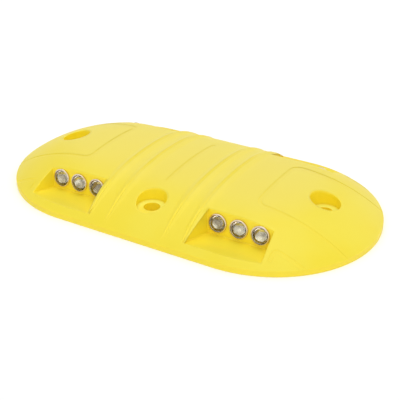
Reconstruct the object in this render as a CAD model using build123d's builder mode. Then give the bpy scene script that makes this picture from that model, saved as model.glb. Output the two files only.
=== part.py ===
import os
from math import asin, cos, degrees, radians, sin, sqrt, tan

from build123d import *

os.makedirs("parts", exist_ok=True)

# Outline and dome of the moulded body
body_length = 445.0
body_width = 250.0
dome_height = 42.7
rim_height = 6.5
rim_edge_radius = 1.5
crown_half_width = 40.0
crown_radius = 375.0

# Cross ribs over the middle of the dome, by the distance of their crests from the middle
rib_places = (35.6, 58.2)
rib_height = 2.0
rib_crest_width = 3.0
rib_side_run = 3.0
rib_crest_groove = 0.7
rib_root = 4.0
rib_sink = 0.1
rib_dip_at_rim = 0.25

# Fine moulded grooves: the middle line, the outline of each end panel and a short flank outline
groove_width = 3.6
groove_depth = 0.35
middle_groove_end = 52.0
panel_start = 107.0
panel_side = 49.0
panel_side_at_rim = 55.0
panel_corner_radius = 10.0
flank_line_start = 149.5
flank_line_side = 92.0
flank_line_foot = 104.0
flank_corner_radius = 5.0

# Lens niches, two on each long side
niche_spacing = 203.0
niche_draft = 9.0
niche_flare = 10.0
niche_side_gap = 2.6
niche_floor_height = 7.0
niche_floor_rise = 7.5
niche_corner_radius = 1.0
niche_rim_radius = 1.0

# Reflectors, three in a row in each niche
reflectors_per_niche = 3
reflector_pitch = 24.6
reflector_setback = 49.0
reflector_height = 20.2
socket_clearance = 0.15
collar_diameter = 21.2
barrel_diameter = 16.4
collar_sheet = 0.6
collar_proud = 2.4
collar_lip = 0.8
collar_edge_radius = 0.4
lens_clearance = 0.1
lens_front_rise = 5.4
lens_stem_length = 4.4
lens_back_rise = 3.8
mirror_thickness = 0.5

# Anchor holes for three bolts: one at each end and one on the front side
anchor_hole_diameter = 18.0
anchor_counterbore_diameter = 33.0
end_anchor_setback = 59.5
end_anchor_seat_height = 21.5
front_anchor_setback = 42.0
front_anchor_lip = 1.4
anchor_edge_radius = 0.7

# Cells that core the underside
cell_length = 28.0
cell_width = 26.0
cell_web = 6.0
cell_columns = 8
cell_rows = 3
cell_corner_radius = 4.0
cell_roof = 8.0

# Sizes of the body that follow from the ones above
half_width = body_width / 2
half_length = body_length / 2
straight_half = half_length - half_width
crown_sweep = degrees(asin(crown_half_width / crown_radius))
above_all = dome_height + rib_height + 10.0
past_rim = 20.0
end_anchor = half_length - end_anchor_setback
front_anchor = half_width - front_anchor_setback

# Sizes of the niches that follow
seat_line = half_width - reflector_setback
draft_run = tan(radians(niche_draft))
row_half = reflector_pitch * (reflectors_per_niche - 1) / 2
niche_seat_half = row_half + collar_diameter / 2 + niche_side_gap
niche_foot_half = niche_seat_half - reflector_height * draft_run
niche_foot_line = seat_line + reflector_height * draft_run

# Sizes of the reflectors that follow, as radii and as distances out from the niche wall
collar_radius = collar_diameter / 2
barrel_radius = barrel_diameter / 2
bore_radius = collar_radius - collar_sheet
lip_radius = bore_radius - collar_lip
barrel_bore_radius = barrel_radius - collar_sheet
lens_radius = bore_radius - lens_clearance
lens_front_radius = lip_radius - lens_clearance
lens_stem_radius = barrel_bore_radius - lens_clearance
lip_back = collar_proud - collar_sheet
lens_shoulder = lip_back - lens_clearance
lens_front = lens_shoulder + lens_front_rise
lens_rim_back = collar_sheet + lens_clearance
lens_stem_back = lens_rim_back - lens_stem_length
lens_back = lens_stem_back - lens_back_rise
mirror_edge = lens_stem_back - lens_clearance
mirror_front = lens_back - lens_clearance
collar_floor = mirror_front - mirror_thickness - lens_clearance
collar_back = collar_floor - collar_sheet
socket_radius = barrel_radius + socket_clearance
socket_back = collar_back - socket_clearance


def dome_section(section_plane, whole):
    """The dome's cross-section: the whole of it, or the half from the middle line to one rim."""
    with BuildSketch(section_plane) as section:
        with BuildLine():
            crown = CenterArc((0, dome_height - crown_radius), crown_radius, 90, -crown_sweep)
            shoulder = TangentArc(crown @ 1, (half_width, rim_height), tangent=crown % 1)
            Polyline(shoulder @ 1, (half_width, 0), (0, 0), (0, dome_height))
        make_face()
        rim_edge = section.vertices().group_by(Axis.X)[-1].sort_by(Axis.Y)[-1]
        fillet(rim_edge, radius=rim_edge_radius)
        if whole:
            mirror(about=Plane.YZ)
    return section.sketch


def shoulder_height(out):
    """Height of the dome where its shoulder lies a given distance out from the middle line."""
    sweep_angle = radians(crown_sweep)
    start_height = dome_height - crown_radius * (1 - cos(sweep_angle))
    run = half_width - crown_half_width
    drop = start_height - rim_height
    radius = (run**2 + drop**2) / (2 * (drop * cos(sweep_angle) - run * sin(sweep_angle)))
    middle = crown_half_width - radius * sin(sweep_angle)
    return start_height - radius * cos(sweep_angle) + sqrt(radius**2 - (out - middle) ** 2)


def plain_dome():
    """The dome with nothing on it: a straight middle between two half-round ends."""
    with BuildPart() as dome:
        extrude(dome_section(Plane.YZ, whole=True), amount=straight_half, both=True)
        for end, turn in ((-straight_half, 1), (straight_half, -1)):
            end_half = dome_section(Plane.YZ.offset(end), whole=False)
            revolve(end_half, axis=Axis((end, 0, 0), (0, 0, turn)), revolution_arc=180)
    return dome.part


def niche_cutter(middle, side):
    """The pocket that one row of reflectors looks out of: plane walls that lean and flare, a rising floor."""
    lean = radians(niche_draft)
    rise = radians(niche_floor_rise)
    flare = radians(niche_flare)
    foot_y = side * niche_foot_line
    floor_y = side * (niche_foot_line - niche_floor_height * draft_run)
    floor_point = (middle, floor_y, niche_floor_height)
    wall = Plane((middle, foot_y, 0), x_dir=(1, 0, 0), z_dir=(0, side * cos(lean), sin(lean)))
    floor = Plane(floor_point, x_dir=(1, 0, 0), z_dir=(0, -side * sin(rise), cos(rise)))
    with BuildPart() as niche:
        with Locations((middle, side * half_width, 0)):
            Box(body_width, body_width, 2 * above_all)
        split(bisect_by=wall, keep=Keep.TOP)
        split(bisect_by=floor, keep=Keep.TOP)
        for hand in (-1, 1):
            inward = (-hand * cos(flare) * cos(lean), side * sin(flare) * cos(lean), sin(lean))
            cheek = Plane((middle + hand * niche_foot_half, foot_y, 0), z_dir=inward)
            split(bisect_by=cheek, keep=Keep.TOP)
        top = niche.faces().sort_by(Axis.Z)[-1]
        mouth = niche.faces().sort_by(Axis((0, 0, 0), (0, side, 0)))[-1]
        fillet(niche.edges() - top.edges() - mouth.edges(), radius=niche_corner_radius)
    return niche.part


def cross_rib(place, dome):
    """One rib that lies on the dome: a low roof shape with a fine groove along its crest."""
    crest_height = dome_height + rib_height
    crest_middle = (0, crest_height - crown_radius)
    rim_end = (half_width, rim_height - rib_dip_at_rim)
    far_end = (-half_width, rim_height - rib_dip_at_rim)
    root_half = rib_crest_width / 2 + rib_side_run * rib_root
    with BuildPart() as rib:
        with BuildLine(Plane.YZ.offset(place)) as path:
            crown = CenterArc(crest_middle, crown_radius, 90 + crown_sweep, -2 * crown_sweep)
            TangentArc(crown @ 1, rim_end, tangent=crown % 1)
            TangentArc(crown @ 0, far_end, tangent=(crown % 0) * -1)
        spine = path.wire()
        start_way = spine % 0
        across = (-1, 0, 0) if start_way.Y > 0 else (1, 0, 0)
        with BuildSketch(Plane(spine @ 0, x_dir=across, z_dir=start_way)) as roof:
            with BuildLine():
                Polyline(
                    (-root_half, -rib_root),
                    (-rib_crest_width / 2, 0),
                    (0, -rib_crest_groove),
                    (rib_crest_width / 2, 0),
                    (root_half, -rib_root),
                    close=True,
                )
            make_face()
        sweep(roof.sketch, path=spine)
        with Locations((0, 0, -rib_sink)):
            add(dome, mode=Mode.SUBTRACT)
    return rib.part


def groove_cutter(dome):
    """Strips over the dome that reach one groove depth below its surface."""
    with BuildPart() as cutter:
        with BuildSketch():
            with BuildLine() as middle_line:
                Line((0, -middle_groove_end), (0, middle_groove_end))
            trace(middle_line.line, line_width=groove_width)
            with BuildLine() as panel_line:
                FilletPolyline(
                    (half_length + past_rim, -panel_side_at_rim),
                    (panel_start, -panel_side),
                    (panel_start, panel_side),
                    (half_length + past_rim, panel_side_at_rim),
                    radius=panel_corner_radius,
                )
            trace(panel_line.line, line_width=groove_width)
            with BuildLine() as flank_line:
                FilletPolyline(
                    (flank_line_start, flank_line_foot),
                    (flank_line_start, flank_line_side),
                    (half_length, flank_line_side),
                    radius=flank_corner_radius,
                )
                mirror(about=Plane.XZ)
            trace(flank_line.line, line_width=groove_width)
            mirror(about=Plane.YZ)
        extrude(amount=above_all)
        with Locations((0, 0, -groove_depth)):
            add(dome, mode=Mode.SUBTRACT)
    return cutter.part


def underside_cells(dome):
    """Pockets that core the underside, under a roof of even thickness."""
    with BuildPart() as cells:
        with BuildSketch():
            with GridLocations(cell_length + cell_web, cell_width + cell_web, cell_columns, cell_rows):
                RectangleRounded(cell_length, cell_width, cell_corner_radius)
        extrude(amount=above_all)
        with Locations((0, 0, -cell_roof)):
            add(dome, mode=Mode.INTERSECT)
    return cells.part


def seat_plane(x, side):
    """Section plane of one reflector: its x runs across, its y runs out along the axis."""
    lean = radians(niche_draft)
    seat = (x, side * seat_line, reflector_height)
    return Plane(seat, x_dir=(1, 0, 0), z_dir=(0, -sin(lean), side * cos(lean)))


def reflector_axis(plane):
    return Axis(plane.origin, plane.y_dir)


def reflector_places(middle):
    """Positions of one row of reflectors along the stud."""
    first = middle - row_half
    return [first + number * reflector_pitch for number in range(reflectors_per_niche)]


def make_collar(plane, tag):
    """Drawn metal shell of one reflector: a flange on the niche wall, a lip that holds the glass, a closed barrel."""
    with BuildPart() as collar:
        with BuildSketch(plane) as section:
            with BuildLine():
                Polyline(
                    (0, collar_back),
                    (barrel_radius, collar_back),
                    (barrel_radius, 0),
                    (collar_radius, 0),
                    (collar_radius, collar_proud),
                    (lip_radius, collar_proud),
                    (lip_radius, lip_back),
                    (bore_radius, lip_back),
                    (bore_radius, collar_sheet),
                    (barrel_bore_radius, collar_sheet),
                    (barrel_bore_radius, collar_floor),
                    (0, collar_floor),
                    close=True,
                )
            make_face()
            front_edge = section.vertices().group_by(Axis.X)[-1].sort_by(Axis.Y)[-1]
            fillet(front_edge, radius=collar_edge_radius)
        revolve(axis=reflector_axis(plane))
    collar.part.label = f"collar_{tag}"
    export_step(collar.part, f"parts/collar_{tag}.step")


def make_lens(plane, tag):
    """Clear glass of one reflector: a domed front, a rim behind the lip, a stem and a bulging back."""
    with BuildPart() as lens:
        with BuildSketch(plane):
            with BuildLine():
                TangentArc((0, lens_front), (lens_front_radius, lens_shoulder), tangent=(1, 0))
                Polyline(
                    (lens_front_radius, lens_shoulder),
                    (lens_radius, lens_shoulder),
                    (lens_radius, lens_rim_back),
                    (lens_stem_radius, lens_rim_back),
                    (lens_stem_radius, lens_stem_back),
                )
                TangentArc((0, lens_back), (lens_stem_radius, lens_stem_back), tangent=(1, 0))
                Line((0, lens_back), (0, lens_front))
            make_face()
        revolve(axis=reflector_axis(plane))
    lens.part.label = f"glass_lens_{tag}"
    export_step(lens.part, f"parts/glass_lens_{tag}.step")


def make_mirror_cup(plane, tag):
    """Thin bright cup that lies behind the glass and follows its back."""
    with BuildPart() as cup:
        with BuildSketch(plane):
            with BuildLine():
                TangentArc((0, mirror_front), (lens_stem_radius, mirror_edge), tangent=(1, 0))
                Line((lens_stem_radius, mirror_edge), (lens_stem_radius, mirror_edge - mirror_thickness))
                TangentArc(
                    (0, mirror_front - mirror_thickness),
                    (lens_stem_radius, mirror_edge - mirror_thickness),
                    tangent=(1, 0),
                )
                Line((0, mirror_front - mirror_thickness), (0, mirror_front))
            make_face()
        revolve(axis=reflector_axis(plane))
    cup.part.label = f"mirror_cup_{tag}"
    export_step(cup.part, f"parts/mirror_cup_{tag}.step")


# Moulded body: dome, niches with rounded rims, anchor holes, ribs, grooves, sockets and underside cells
dome = plain_dome()
niche_middles = {"left": -niche_spacing / 2, "right": niche_spacing / 2}
niche_sides = {"front": -1, "rear": 1}
front_anchor_edge = front_anchor + anchor_counterbore_diameter / 2
front_anchor_seat_height = shoulder_height(front_anchor_edge) - front_anchor_lip
print("front anchor seat", round(front_anchor_seat_height, 2), "mm above the road")
anchor_places = (
    (end_anchor, 0, end_anchor_seat_height),
    (-end_anchor, 0, end_anchor_seat_height),
    (0, -front_anchor, front_anchor_seat_height),
)

with BuildPart() as body:
    add(dome)
    for side in niche_sides.values():
        for middle in niche_middles.values():
            uncut = body.part
            niche = niche_cutter(middle, side)
            add(niche, mode=Mode.SUBTRACT)
            fillet(new_edges(uncut, niche, combined=body.part), radius=niche_rim_radius)
    for x, y, seat in anchor_places:
        with Locations((x, y, above_all)):
            CounterBoreHole(
                radius=anchor_hole_diameter / 2,
                counter_bore_radius=anchor_counterbore_diameter / 2,
                counter_bore_depth=above_all - seat,
                depth=above_all,
            )
        mouth = body.edges(Select.LAST).filter_by(GeomType.LINE, reverse=True)
        fillet(mouth.filter_by_position(Axis.Z, seat + front_anchor_lip / 2, above_all), radius=anchor_edge_radius)
    for place in rib_places:
        add(cross_rib(place, dome))
        add(cross_rib(-place, dome))
    add(groove_cutter(dome), mode=Mode.SUBTRACT)
    for side in niche_sides.values():
        for middle in niche_middles.values():
            for x in reflector_places(middle):
                plane = seat_plane(x, side)
                with BuildSketch(plane):
                    with Locations((socket_radius / 2, (socket_back + collar_proud) / 2)):
                        Rectangle(socket_radius, collar_proud - socket_back)
                revolve(axis=reflector_axis(plane), mode=Mode.SUBTRACT)
    add(underside_cells(dome), mode=Mode.SUBTRACT)

body.part.label = "body"
export_step(body.part, "parts/body.step")
print("body volume", round(body.part.volume), "mm3")

# Reflectors: a collar, a mirror cup and a glass lens at every place
for side_name, side in niche_sides.items():
    for hand_name, middle in niche_middles.items():
        for number, x in enumerate(reflector_places(middle), start=1):
            plane = seat_plane(x, side)
            tag = f"{side_name}_{hand_name}_{number}"
            make_collar(plane, tag)
            make_mirror_cup(plane, tag)
            make_lens(plane, tag)
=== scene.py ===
# %% [markdown]
# A yellow road stud with glass reflectors
#
# The object is a low plastic hump that is bolted to the road between two lanes. Each of its long sides
# has two niches, and each niche holds three small glass reflectors. The CAD model already has every
# shape at its real size. The shapes could be modelled again in Blender, but then each size would exist
# twice and could drift apart. So the CAD model is loaded as a fixed frame that nothing here moves or
# reshapes, and this lesson is about finishes: how yellow plastic with light and shade painted into its
# colour, pressed steel, silvering and clear glass are made from nodes, and how a plain white studio
# shows them. The size of the box round the CAD model is printed here, and the dressed size at the end.

# %% Load the frame
import math

import bpy
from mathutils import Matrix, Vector


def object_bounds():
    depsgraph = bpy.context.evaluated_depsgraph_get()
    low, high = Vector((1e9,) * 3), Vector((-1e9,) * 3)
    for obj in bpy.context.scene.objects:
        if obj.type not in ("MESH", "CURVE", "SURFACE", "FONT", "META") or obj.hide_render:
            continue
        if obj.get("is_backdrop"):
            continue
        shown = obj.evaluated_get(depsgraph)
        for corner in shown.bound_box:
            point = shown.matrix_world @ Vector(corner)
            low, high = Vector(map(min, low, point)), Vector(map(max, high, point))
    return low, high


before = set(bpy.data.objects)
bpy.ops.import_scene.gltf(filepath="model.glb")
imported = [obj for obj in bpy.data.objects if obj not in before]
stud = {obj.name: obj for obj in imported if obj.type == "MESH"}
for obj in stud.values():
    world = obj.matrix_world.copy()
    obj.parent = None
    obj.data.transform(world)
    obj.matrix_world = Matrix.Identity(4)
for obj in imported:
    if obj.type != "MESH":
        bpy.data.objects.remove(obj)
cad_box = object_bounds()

cad_low, cad_high = cad_box
stud_size = cad_high - cad_low
print("nodes:", len(stud), "size in mm:", [round(1000 * side, 1) for side in stud_size])

# %% [markdown]
# Shader maths as Python
#
# A finish is a small program of nodes. It could be drawn by hand in the shader editor, but a script can
# be read, repeated and changed. Adding and linking each node line by line makes long code that hides the
# idea, so a wire stands for one output socket, and adding, subtracting or multiplying wires adds the
# Math node for it. The reflected forms, such as __rsub__, are there so that a plain number can stand on
# the left, as in 1.0 - mask.

# %% Wires


class Wire:
    """One output socket of a node tree. Python's operators on it add Math nodes."""

    def __init__(self, tree, socket):
        self.tree = tree
        self.socket = socket

    def maths(self, operation, first, second):
        return self.tree.node("ShaderNodeMath", {"operation": operation}, {0: first, 1: second})

    def __add__(self, other):
        return self.maths("ADD", self, other)

    def __radd__(self, other):
        return self.maths("ADD", other, self)

    def __sub__(self, other):
        return self.maths("SUBTRACT", self, other)

    def __rsub__(self, other):
        return self.maths("SUBTRACT", other, self)

    def __mul__(self, other):
        return self.maths("MULTIPLY", self, other)

    def __rmul__(self, other):
        return self.maths("MULTIPLY", other, self)


print("wires can be added, subtracted and multiplied")

# %% [markdown]
# One method for every other node
#
# Every other node comes from one method. It applies the node's own settings first, because some of them
# decide which sockets the node has, and then gives each socket a value or a wire. Three kinds of node
# are needed so often that they get short names: place tells where a spot lies in the object's own
# metres, mix blends two colours by a share, and step is a soft switch from nought to one between two
# values. Colours need the Mix node, because a Math node would turn them grey. A Map Range node makes the
# switch in one piece, where plain maths would take six nodes.

# %% Sockets


def pick(sockets, key):
    """A socket by its number, or the one of that name which the node's settings have switched on."""
    if isinstance(key, int):
        return sockets[key]
    return next(socket for socket in sockets if socket.name == key and socket.enabled)


print("sockets are picked by number or by name")

# %% Node trees


class NodeTree:
    """The nodes of one material or of the world."""

    def __init__(self, owner):
        owner.use_nodes = True
        self.owner = owner
        self.tree = owner.node_tree
        self.tree.nodes.clear()

    def node(self, kind, settings=None, sockets=None, out=0):
        """Adds a node, its settings first and then its sockets, and gives back the wire of one output."""
        made = self.tree.nodes.new(kind)
        for name, value in (settings or {}).items():
            setattr(made, name, value)
        for key, value in (sockets or {}).items():
            socket = pick(made.inputs, key)
            if isinstance(value, Wire):
                self.tree.links.new(value.socket, socket)
            else:
                socket.default_value = value
        return Wire(self, pick(made.outputs, out)) if made.outputs else None

    def place(self):
        return self.node("ShaderNodeTexCoord", out="Object")

    def mix(self, share, first, second):
        sockets = {"Factor": share, "A": first, "B": second}
        return self.node("ShaderNodeMix", {"data_type": "RGBA"}, sockets, "Result")

    def step(self, value, start, end):
        limits = {"Value": value, "From Min": start, "From Max": end}
        return self.node("ShaderNodeMapRange", {"interpolation_type": "SMOOTHSTEP"}, limits)

    def count(self):
        return len(self.tree.nodes)


print("node trees have short names for place, mix and step")

# %% [markdown]
# Moulded plastic is never quite even
#
# The hump is one moulding in a strong yellow that is coloured all through. The melt cools in broad soft
# clouds, its surface sinks into a slight ripple, and the mould leaves a fine grain. A painted image could
# show this, but it has to be unwrapped and has one fixed scale. Noise in the object's own metres has no
# seams, and each noise is asked for by the real length of its patches. The lengths of all finishes are
# written in millimetres, as on a drawing.

# %% Noise at real sizes
MILLIMETRE = 0.001


def noise(tree, place, length, detail):
    """Noise with patches of about that length. Its scale is the number of patches in a metre."""
    sockets = {"Vector": place, "Scale": 1.0 / (length * MILLIMETRE), "Detail": detail}
    return tree.node("ShaderNodeTexNoise", None, sockets, "Fac")


plastic = NodeTree(bpy.data.materials.new("moulded_yellow"))
on_plastic = plastic.place()
clouds = noise(plastic, on_plastic, length=60.0, detail=3.0)
ripple = noise(plastic, on_plastic, length=7.0, detail=1.0)
grain = noise(plastic, on_plastic, length=0.8, detail=2.0)
print("clouds, ripple and grain are ready, nodes so far:", plastic.count())

# %% [markdown]
# What a spot knows about its place
#
# The colour also paints light and shade by where a spot lies: painted light and painted shade in the
# hollows, a painted sheen on the crown and painted highlights on free edges of the flanks. Such zones
# could be painted by hand as vertex colours, but paint doesn't follow when a size changes. Nodes can
# measure them instead. Ambient Occlusion tells how much open air a spot sees within a reach: a long
# reach finds the niches and holes, a short one the grooves and corners. The upward part of the normal
# tells how level the face is, and the upward part of the place is the height above the road.

# %% Open air, tilt and height
SHELTER_REACH = 40.0
CREVICE_REACH = 4.0
AIR_SAMPLES = 8


def air(tree, reach, only_local=True):
    """How much open air a spot sees within that reach: one in the open, nought in a closed corner."""
    settings = {"only_local": only_local, "samples": AIR_SAMPLES}
    return tree.node("ShaderNodeAmbientOcclusion", settings, {"Distance": reach * MILLIMETRE}, "AO")


def up_part(tree, vector):
    """The part of a direction or a place that points straight up."""
    return tree.node("ShaderNodeSeparateXYZ", None, {"Vector": vector}, "Z")


open_air = air(plastic, SHELTER_REACH)
close_air = air(plastic, CREVICE_REACH)
face_normal = plastic.node("ShaderNodeNewGeometry", out="Normal")
upward = up_part(plastic, face_normal)
height = up_part(plastic, on_plastic)
print("open air is measured over", SHELTER_REACH, "and", CREVICE_REACH, "mm")

# %% [markdown]
# Hollows, seats and corners
#
# A mask is a wire between nought and one that says where a tone goes. A hard limit would draw a line, so
# soft steps turn the measures into masks, and each pair of numbers here says where such a step starts
# and ends. Open air is one on a free face, and the upward part of the normal is one on a level face. Only
# the seats of the anchor holes are both deep and quite level, so a narrow step near one finds them and
# leaves out the niche floors, which slope a little. The sum of two masks can pass one, so a step brings
# it back between nought and one.

# %% Masks of the hollows
HOLLOW_AIR = (0.35, 1.0)
SHELTER_AIR = (0.75, 1.0)
CREVICE_AIR = (0.5, 0.95)
STEEP_TILT = (0.4, 0.85)
LEVEL_TILT = (0.992, 0.999)
SEAT_DEPTH = (0.2, 0.6)

recess = 1.0 - plastic.step(open_air, *HOLLOW_AIR)
sheltered = 1.0 - plastic.step(open_air, *SHELTER_AIR)
# Painted shade: grooves and corners get the deepest tone.
painted_crevice_shade = 1.0 - plastic.step(close_air, *CREVICE_AIR)
steep = 1.0 - plastic.step(upward, *STEEP_TILT)
# This mask carries the painted light: a lighter, warmer yellow in sheltered spots and on steep faces.
shaded = plastic.step(sheltered + steep, 0.0, 1.0)
seat = plastic.step(recess, *SEAT_DEPTH) * plastic.step(upward, *LEVEL_TILT)
print("masks of the hollows are ready, nodes so far:", plastic.count())

# %% [markdown]
# Edges without extra points
#
# The painted highlights and the painted sheen have to know where edges are. Curvature could be stored in
# the mesh, but the large CAD faces have too few points for that. A Bevel node needs none: it gives the
# normal that the surface would have if its edges were rounded, and where that normal turns away from the
# true one, an edge is near. The dot product of the two is one on a flat face and less beside an edge.

# %% How near an edge is
EDGE_WIDTH = 3.2
EDGE_TURN = (0.002, 0.04)
SHARP_TURN = (0.01, 0.15)


def bevel(tree, radius, samples):
    """The normal that the surface would have if its edges were rounded by that radius."""
    return tree.node("ShaderNodeBevel", {"samples": samples}, {"Radius": radius * MILLIMETRE})


def dot(tree, first, second):
    """One where two directions agree, and less the further they part."""
    settings = {"operation": "DOT_PRODUCT"}
    return tree.node("ShaderNodeVectorMath", settings, {0: first, 1: second}, "Value")


turned = 1.0 - dot(plastic, bevel(plastic, EDGE_WIDTH, samples=12), face_normal)
edge = plastic.step(turned, *EDGE_TURN)
sharp_edge = plastic.step(turned, *SHARP_TURN)
print("an edge is felt within", EDGE_WIDTH, "mm")

# %% [markdown]
# Painted sheen on the crown, painted highlights on the flanks
#
# A paler tone high on the hump paints the sheen that the crown shows, and a paler tone on the free edges
# of the flanks paints highlights. The painted sheen could follow the tilt of the face alone, but then each
# side of a rib would change colour sharply, and in the photograph the ribs are soft. So height decides,
# and the tilt only keeps the painted sheen off the walls of niches and holes. On the tops of the ribs, the
# edges are left without the painted sheen, so they keep more colour than the faces between them.

# %% Masks of the painted sheen and highlights
FLANK_ENDS = (22.0, 40.0)
SHEEN_HEIGHT = (32.0, 43.0)
RIB_TOP_HEIGHT = (39.0, 43.5)
SHEEN_TILT = (0.3, 0.7)
FREE_AIR = (0.75, 0.95)


def above(tree, height, limits):
    """A soft switch over the height: nought below the first limit, one above the second, in mm."""
    low, high = limits
    return tree.step(height, low * MILLIMETRE, high * MILLIMETRE)


# Painted sheen: a paler tone on high faces that look upward.
sheen_zone = above(plastic, height, SHEEN_HEIGHT) * plastic.step(upward, *SHEEN_TILT)
# On the rib tops the edges are left out of the painted sheen.
rib_top = above(plastic, height, RIB_TOP_HEIGHT)
crown = above(plastic, height, FLANK_ENDS)
# Painted highlight: a paler tone along free, sharp edges low on the flanks.
painted_highlight = sharp_edge * plastic.step(open_air, *FREE_AIR) * (1.0 - crown)
# The printed heights bound the painted sheen.
print("the sun's mark grows between", *SHEEN_HEIGHT, "mm above the road")

# %% [markdown]
# Six coats over one yellow
#
# Most of the plastic's tones paint light and shade into its colour, so they are laid like thin coats. Each
# coat has a mask, a strength and a tone, and a mix lays it over what is there. One ramp over one mask
# would be shorter, but these zones overlap. The order runs from wide zones to fine ones: a lighter,
# warmer tone in sheltered spots and on steep faces, which paints light into the shade, a deeper one on
# steep walls in hollows, which paints the light that bounces from yellow to yellow, a paler tone on the
# level seats, a painted sheen on the crown, painted highlights on free edges, and the deepest tone in
# grooves and corners as painted shade.

# %% The yellows
CLOUD_LIMITS = (0.35, 0.7)


def opaque(red, green, blue):
    """A colour as a socket takes it, with full alpha."""
    return (red, green, blue, 1.0)


yellow = opaque(0.910, 0.735, 0.026)
pale_yellow = opaque(0.910, 0.755, 0.045)
coats = {
    # painted light: a lighter, warmer yellow in sheltered spots and on steep faces
    "painted_light_in_shade": (shaded, 1.0, opaque(0.985, 0.780, 0.036)),
    # painted bounce light: a deeper, more saturated yellow on steep walls in hollows
    "deep": (recess * steep, 0.9, opaque(0.905, 0.705, 0.016)),
    # a paler tone on the level seats of the anchor holes
    "pale_seats": (seat, 1.0, opaque(0.860, 0.840, 0.180)),
    # painted sheen: a paler tone on the high, upward faces of the crown
    "painted_sheen": (sheen_zone * (1.0 - edge * rib_top), 0.6, opaque(0.920, 0.770, 0.130)),
    # painted highlight: a paler tone on free edges low on the flanks
    "painted_highlight": (painted_highlight, 0.5, opaque(0.930, 0.790, 0.085)),
    # painted shade: the deepest tone in grooves and corners
    "painted_crevice_shade": (painted_crevice_shade, 0.85, opaque(0.800, 0.625, 0.014)),
}
colour = plastic.mix(plastic.step(clouds, *CLOUD_LIMITS), yellow, pale_yellow)
for mask, strength, tone in coats.values():
    colour = plastic.mix(mask * strength, colour, tone)
print("coats over the yellow:", ", ".join(coats))

# %% [markdown]
# Rounded edges and fine relief
#
# A mould rounds every edge, and its grain and ripple show in the gloss. Real relief this fine would take
# millions of faces, so a Bump node tilts the shading instead. It starts from rounded normals: a small
# radius over most of the body, and a wide one high on the hump, because the ribs of the real moulding are
# softer than those of the CAD model. The wide radius stays away from the niches, where it would draw dark
# lines along thin edges.

# %% Normals of the plastic
MOULD_RADIUS = 0.6
RIB_RADIUS = 5.0
SOFT_RIB_HEIGHT = (29.0, 36.0)


def bump(tree, relief, depth, strength, normal=None):
    """The normal with a relief of that depth on it, in millimetres."""
    sockets = {"Strength": strength, "Distance": depth * MILLIMETRE, "Height": relief}
    if normal is not None:
        sockets["Normal"] = normal
    return tree.node("ShaderNodeBump", None, sockets)


normals = {
    "Factor": above(plastic, height, SOFT_RIB_HEIGHT),
    "A": bevel(plastic, MOULD_RADIUS, samples=8),
    "B": bevel(plastic, RIB_RADIUS, samples=12),
}
blended = plastic.node("ShaderNodeMix", {"data_type": "VECTOR"}, normals, "Result")
rounded = plastic.node("ShaderNodeVectorMath", {"operation": "NORMALIZE"}, {0: blended})
relief = 0.06 * grain + 0.08 * ripple
relief_normal = bump(plastic, relief, depth=1.0, strength=0.5, normal=rounded)
print("edges are rounded by", MOULD_RADIUS, "mm, and by", RIB_RADIUS, "mm on the ribs")

# %% [markdown]
# Gloss and glow
#
# The plastic is half matt, and its gloss varies with the grain and the clouds. In its hollows it seems to
# glow, because light wanders through the plastic and comes out there. Subsurface scattering is the true
# way to show that, but it made the yellow darker and duller, so a faint emission stands for it in
# sheltered spots. One Principled shader takes the colour, the gloss, the normal and the glow.

# %% End a finish


def shade(tree, sockets):
    """Ends a finish: a Principled shader with these sockets, joined to the material's output."""
    shader = tree.node("ShaderNodeBsdfPrincipled", None, sockets)
    tree.node("ShaderNodeOutputMaterial", None, {"Surface": shader})


def dress(prefix, tree):
    """Gives this finish to every CAD node whose name starts with prefix."""
    dressed = [node for name, node in stud.items() if name.startswith(prefix)]
    for node in dressed:
        node.data.materials.clear()
        node.data.materials.append(tree.owner)
    print(tree.owner.name, "with", tree.count(), "nodes is on", len(dressed), "pieces")


print("a finish ends with shade and dress")

# %% Dress the body
INNER_GLOW = opaque(0.075, 0.068, 0.003)
NO_GLOW = opaque(0.0, 0.0, 0.0)

plastic_look = {
    "Base Color": colour,
    "Roughness": 0.40 + 0.08 * grain + 0.10 * (clouds - 0.5),
    "Normal": relief_normal,
    "IOR": 1.48,
    "Emission Color": plastic.mix(sheltered, NO_GLOW, INNER_GLOW),
    "Emission Strength": 1.0,
}
shade(plastic, plastic_look)
dress("body", plastic)

# %% [markdown]
# The metal collars
#
# Each reflector sits in a thin collar of pressed steel. Pressed sheet is bright but not polished: the
# tool leaves fine lines, and a brownish film grows in patches. The same darker brown is laid as painted
# shade where the collar's foot meets the plastic. A chrome of one colour would be quicker, but it looks
# new and the photograph's collars don't. Here the Ambient Occlusion node also sees the other pieces, so
# that it finds the collar's foot in the plastic.

# %% The collars' finish
STEEL = opaque(0.74, 0.63, 0.50)
FILM_AND_SHADE = opaque(0.68, 0.52, 0.33)
FILM_AND_SHADE_LIMITS = (0.45, 0.8)
FOOT_REACH = 2.5
FOOT_AIR = (0.45, 0.85)
FOOT_SHADE_STRENGTH = 0.6

steel = NodeTree(bpy.data.materials.new("pressed_steel"))
on_steel = steel.place()
patches = noise(steel, on_steel, length=5.0, detail=3.0)
lines = noise(steel, on_steel, length=0.35, detail=1.0)
# Painted shade: the collar's foot, where it meets the plastic, gets the darker brown tone.
painted_foot_shade = 1.0 - steel.step(air(steel, FOOT_REACH, only_local=False), *FOOT_AIR)
# This mask holds the random brown film patches and the painted shade at the foot.
film_and_foot_shade = steel.step(patches + painted_foot_shade * FOOT_SHADE_STRENGTH, *FILM_AND_SHADE_LIMITS)
steel_look = {
    "Base Color": steel.mix(film_and_foot_shade, STEEL, FILM_AND_SHADE),
    "Metallic": 1.0,
    "Roughness": 0.10 + 0.14 * patches + 0.06 * lines,
    "Normal": bump(steel, lines, depth=0.1, strength=0.3),
}
shade(steel, steel_look)
dress("collar", steel)

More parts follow.
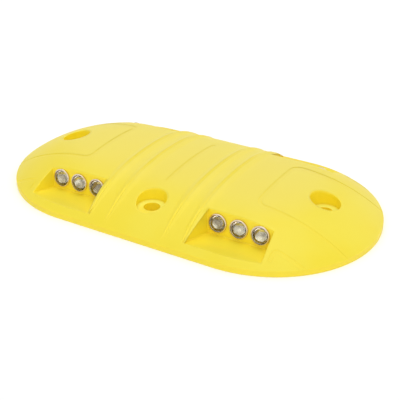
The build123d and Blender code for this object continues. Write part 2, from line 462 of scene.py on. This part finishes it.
# %% [markdown]
# The silvering
#
# Behind each glass lies a silvered cup, which sends headlight back. A perfect mirror would be the simplest
# finish, but every cup would then show the same picture. Real silvering has small faults: the film is
# dull in patches and a little wavy, so that the picture in it breaks up. Noise of 7 mm puts a few such
# patches on each cup.

# %% The silvering's finish
BRIGHT_SILVER = opaque(0.72, 0.65, 0.50)
DULL_SILVER = opaque(0.26, 0.20, 0.11)
DULL_LIMITS = (0.38, 0.62)

silver = NodeTree(bpy.data.materials.new("silvered"))
on_silver = silver.place()
blotches = noise(silver, on_silver, length=7.0, detail=2.0)
waves = noise(silver, on_silver, length=2.0, detail=1.0)
silver_look = {
    "Base Color": silver.mix(silver.step(blotches, *DULL_LIMITS), BRIGHT_SILVER, DULL_SILVER),
    "Metallic": 1.0,
    "Roughness": 0.05 + 0.12 * blotches,
    "Normal": bump(silver, waves, depth=0.4, strength=0.4),
}
shade(silver, silver_look)
dress("mirror_cup", silver)

# %% [markdown]
# The glass
#
# The lenses are pressed from clear glass. A Glass shader would do for a clean lens, but pressed glass
# waves a little and carries a thin film of road dust, which shows mostly in the gloss. The Principled
# shader with full transmission takes both: the dust in its roughness and, very slightly, in its tint, and
# the waves as bump.

# %% The glass finish
CLEAN_GLASS = opaque(0.97, 0.99, 0.97)
DUSTY_GLASS = opaque(0.92, 0.94, 0.92)
DUST_LIMITS = (0.5, 0.8)

glass = NodeTree(bpy.data.materials.new("pressed_glass"))
on_glass = glass.place()
dust = noise(glass, on_glass, length=3.0, detail=4.0)
swell = noise(glass, on_glass, length=6.0, detail=1.0)
glass_look = {
    "Base Color": glass.mix(dust, CLEAN_GLASS, DUSTY_GLASS),
    "Roughness": 0.01 + 0.04 * glass.step(dust, *DUST_LIMITS),
    "Normal": bump(glass, swell, depth=0.3, strength=0.2),
    "IOR": 1.52,
    "Transmission Weight": 1.0,
}
shade(glass, glass_look)
dress("glass_lens", glass)

# %% [markdown]
# A white floor
#
# The photograph shows the stud cut out on white. Stronger lamps would turn a pale floor white, but they
# would burn out the yellow too. So the floor is a pale matt plane with a little light of its own, which
# only the camera, mirrors and glass see. That lifts it to white and still leaves it the stud's soft
# shadow. It reaches many metres to each side, so that its edge stays far away.

# %% The floor's finish
PALE = opaque(0.93, 0.93, 0.93)
PALER = opaque(0.95, 0.95, 0.95)
LIFT = opaque(0.13, 0.13, 0.13)


def seen_directly(tree):
    """One for rays from the camera, a mirror or glass, and nought for rays that light the object."""
    kinds = ("Is Camera Ray", "Is Glossy Ray", "Is Transmission Ray")
    camera, glossy, through = [tree.node("ShaderNodeLightPath", out=kind) for kind in kinds]
    return tree.step(camera + glossy + through, 0.0, 1.0)


matt = NodeTree(bpy.data.materials.new("white_floor"))
mottle = noise(matt, matt.place(), length=40.0, detail=2.0)
matt_look = {
    "Base Color": matt.mix(mottle, PALE, PALER),
    "Roughness": 0.8,
    "Emission Color": matt.mix(seen_directly(matt), NO_GLOW, LIFT),
    "Emission Strength": 1.0,
}
shade(matt, matt_look)
print(matt.owner.name, "has", matt.count(), "nodes")

# %% Floor
FLOOR_REACH = 12.0

bpy.ops.mesh.primitive_plane_add(size=2.0 * FLOOR_REACH, location=(0.0, 0.0, cad_low.z))
floor = bpy.context.active_object
floor.name = "floor"
floor.data.materials.append(matt.owner)
floor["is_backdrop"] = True
print("floor at z =", round(cad_low.z, 5))

# %% [markdown]
# The studio round the stud
#
# A plain white world would do for the plastic, but metal and glass would mirror white on every side and
# look flat. Photographers leave one end of a white studio dark for that. Here the world has three levels:
# white for the camera, white with a dark end near the camera for mirrors and glass, and a plain even
# level for the light that falls on the stud. The dot product of a ray's direction and the dark end's
# tells how near the two are.

# %% World
WHITE = opaque(1.0, 1.0, 1.0)
WORLD_LEVEL = 0.54
DARK_END = Vector((0.44, -0.76, 0.48))
DARK_SPREAD = (0.80, 0.93)
DARK_DEPTH = 0.75

studio = NodeTree(bpy.data.worlds.new("white_studio"))
direction = studio.node("ShaderNodeTexCoord", out="Generated")
dark_end = studio.step(dot(studio, direction, DARK_END), *DARK_SPREAD)
camera_ray = studio.node("ShaderNodeLightPath", out="Is Camera Ray")
mirrored = seen_directly(studio) - camera_ray
up_to_white = 1.0 - WORLD_LEVEL
level = WORLD_LEVEL + up_to_white * camera_ray + (up_to_white - DARK_DEPTH * dark_end) * mirrored
background = studio.node("ShaderNodeBackground", None, {"Color": WHITE, "Strength": level})
studio.node("ShaderNodeOutputWorld", None, {"Surface": background})
bpy.context.scene.world = studio.owner
print("the world lights the stud at", WORLD_LEVEL, "with", studio.count(), "nodes")

# %% [markdown]
# Three soft lamps
#
# A world alone lights every face much alike, so three lamps give the hump its shape: a key from above, a
# fill from the camera's side and a weak one from the back right. Area lamps would light the near end more
# than the far one. Suns light both alike, and a wide angle makes their shadows soft. The levels are plain
# ones, at which a colour renders about as it is written.

# %% Lamps


def soft_sun(name, comes_from, level, spread):
    """A sun that shines from that direction, as wide in the sky as spread says, in degrees."""
    lamp = bpy.data.lights.new(name, "SUN")
    lamp.energy = level
    lamp.angle = math.radians(spread)
    sun = bpy.data.objects.new(name, lamp)
    sun.rotation_mode = "QUATERNION"
    sun.rotation_quaternion = Vector(comes_from).to_track_quat("Z", "Y")
    bpy.context.scene.collection.objects.link(sun)
    print(name, "lamp of level", level, "spread over", spread, "degrees")


soft_sun("key", comes_from=(-0.1, 0.1, 1.0), level=0.82, spread=50.0)
soft_sun("fill", comes_from=(0.45, -0.72, 0.53), level=0.75, spread=60.0)
soft_sun("back", comes_from=(0.5, 0.75, 0.45), level=0.25, spread=60.0)

# %% [markdown]
# The camera
#
# The photograph was taken from the front right, about thirty degrees round and nearly as many up. A
# camera can be turned by angles on three axes, but it is easier to think of the point in the middle of
# the picture, a direction and a distance, in metres like everything in the frame. The Standard view keeps
# the colours as they are written.

# %% Where the camera stands
VIEW_ROUND = math.radians(30.24)
VIEW_UP = math.radians(28.90)
VIEW_DISTANCE = 0.9035
MIDDLE_OF_PICTURE = Vector((0.0357, -0.0425, 0.020))

level_part = math.cos(VIEW_UP)
to_the_right = math.sin(VIEW_ROUND) * level_part
to_the_front = math.cos(VIEW_ROUND) * level_part
towards_camera = Vector((to_the_right, -to_the_front, math.sin(VIEW_UP)))
viewpoint = MIDDLE_OF_PICTURE + VIEW_DISTANCE * towards_camera
print("camera at", [round(x, 4) for x in viewpoint])

# %% Camera
FOCAL_LENGTH = 74.9
SENSOR_WIDTH = 36.0
NEAREST_SEEN = 0.01
FURTHEST_SEEN = 100.0

lens = bpy.data.cameras.new("photo_camera")
lens.lens = FOCAL_LENGTH
lens.sensor_width = SENSOR_WIDTH
lens.clip_start = NEAREST_SEEN
lens.clip_end = FURTHEST_SEEN
camera = bpy.data.objects.new("photo_camera", lens)
camera.location = viewpoint
camera.rotation_mode = "QUATERNION"
camera.rotation_quaternion = towards_camera.to_track_quat("Z", "Y")
bpy.context.scene.collection.objects.link(camera)
bpy.context.scene.camera = camera
bpy.context.scene.view_settings.view_transform = "Standard"
print("lens of", FOCAL_LENGTH, "mm on a sensor of", SENSOR_WIDTH, "mm")

# %% [markdown]
# Sizes and finish
#
# A finish must not change the object's size. Measuring by hand could miss a piece that stands out, so the
# box of the dressed model is taken the same way as the CAD box at the start, and its size is printed as
# the
# CAD box's was.

# %% Sizes
shown_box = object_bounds()
shown_low, shown_high = shown_box
print("dressed size in mm:", [round(1000 * side, 1) for side in shown_high - shown_low])
